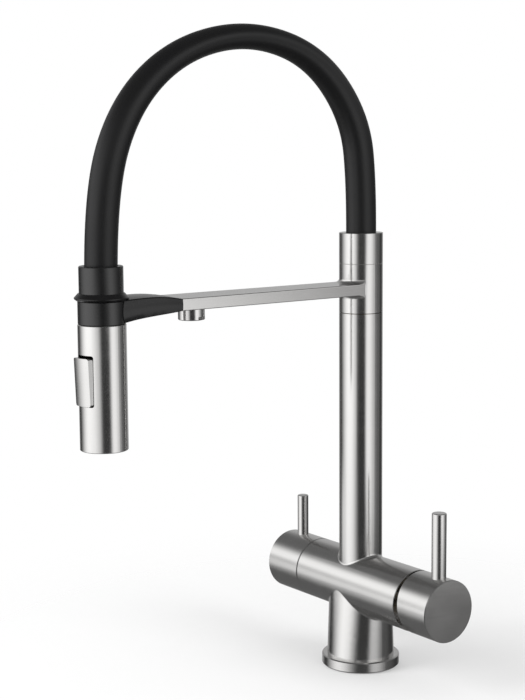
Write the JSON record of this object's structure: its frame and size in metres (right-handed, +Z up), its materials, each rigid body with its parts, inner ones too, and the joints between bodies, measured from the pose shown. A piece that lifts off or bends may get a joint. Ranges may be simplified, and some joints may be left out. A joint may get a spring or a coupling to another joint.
{
  "type": "three way filtered water tap",
  "caption": "Kitchen tap with a hose arch to a pull-down spray head, an outlet arm, a mixer lever and a filtered water lever.",
  "frame": {"origin": "centre of the base's underside, on the worktop", "axes": "+Z up the column; the outlet arm and spray head reach towards -Y, the mixer lever is at +X and the filtered water lever at -X"},
  "size_m": [0.1842, 0.2669, 0.4737],
  "materials": {
    "brushed_steel": "brushed stainless steel",
    "polished_edge": "finely turned stainless steel",
    "inner_steel": "machined stainless steel",
    "brass": "machined brass",
    "ceramic": "lapped ceramic",
    "black_plastic": "fine satin black",
    "grey_plastic": "moulded acetal",
    "black_rubber": "matt black",
    "braid_hose": "lining hose"
  },
  "bodies": {
    "base": {"base_gasket": "black_rubber", "base_ring": "brushed_steel", "inlet_plate": "brass", "tee_body": "brushed_steel", "riser_tube": "brushed_steel", "mixed_water_hose": "braid_hose", "filtered_water_tube": "braid_hose", "swivel_manifold": "brass", "swivel_seals": "black_rubber", "swivel_clip_ring": "inner_steel", "cartridge_seat": "grey_plastic", "mixer_cartridge": "grey_plastic", "cartridge_nut": "brass", "filter_headwork": "brass", "fixed_disc": "ceramic"},
    "spout": {"lower_bush": "grey_plastic", "upper_bush": "grey_plastic", "outlet_arm": "brushed_steel", "arm_plug": "inner_steel", "outlet_nozzle": "polished_edge", "outlet_insert": "grey_plastic", "hose_sleeve": "brushed_steel", "hose_connector": "brass", "hose_guide": "black_plastic", "spout_hose": "black_rubber", "spray_holder": "black_plastic", "holder_screws": "inner_steel"},
    "docking_collar": {"head_collar": "black_plastic", "head_band": "black_plastic", "swivel_nut": "brass"},
    "spray_head": {"spray_barrel": "brushed_steel", "spray_core": "black_plastic", "spray_faceplate": "black_plastic", "spray_nozzles": "black_rubber", "stream_insert": "grey_plastic", "rocker_pin": "polished_edge"},
    "rocker": {"rocker_button": "brushed_steel"},
    "mixer_carrier": {"stem_carrier": "grey_plastic", "tilt_pin": "inner_steel"},
    "mixer_lever": {"lever_stem": "inner_steel", "mixer_handle": "brushed_steel", "mixer_lever_pin": "brushed_steel", "mixer_grub_screw": "inner_steel"},
    "filter_lever": {"moving_disc": "ceramic", "filter_spindle": "brass", "filter_handle": "brushed_steel", "filter_lever_pin": "brushed_steel", "filter_grub_screw": "inner_steel"}
  },
  "joints": [
    {"name": "spout_swivel", "type": "hinge", "parent": "base", "child": "spout", "pos_m": [0, 0, 0.2658], "axis": [0, 0, 1], "range_deg": [-180, 180]},
    {"name": "mixer_temperature", "type": "hinge", "parent": "base", "child": "mixer_carrier", "pos_m": [0.052, 0, 0.0625], "axis": [1, 0, 0], "range_deg": [-45, 45]},
    {"name": "lever_tilt", "type": "hinge", "parent": "mixer_carrier", "child": "mixer_lever", "pos_m": [0.052, 0, 0.0625], "axis": [0, 1, 0], "range_deg": [0, 15]},
    {"name": "filter_turn", "type": "hinge", "parent": "base", "child": "filter_lever", "pos_m": [-0.05, 0, 0.0625], "axis": [1, 0, 0], "range_deg": [0, 90]},
    {"name": "spray_pullout", "type": "slide", "parent": "spout", "child": "docking_collar", "axis": [0, 0, -1], "range_m": [0, 0.04], "stiffness_N_per_m": 200, "springref_m": -0.03, "deforming": ["spout_hose"]},
    {"name": "spray_spin", "type": "hinge", "parent": "docking_collar", "child": "spray_head", "pos_m": [0, -0.2185, 0.27], "axis": [0, 0, 1], "continuous": true},
    {"name": "rocker_press", "type": "hinge", "parent": "spray_head", "child": "rocker", "pos_m": [0.00158, -0.22848, 0.2368], "axis": [-0.9877, -0.1564, 0], "range_deg": [0, 5]}
  ]
}
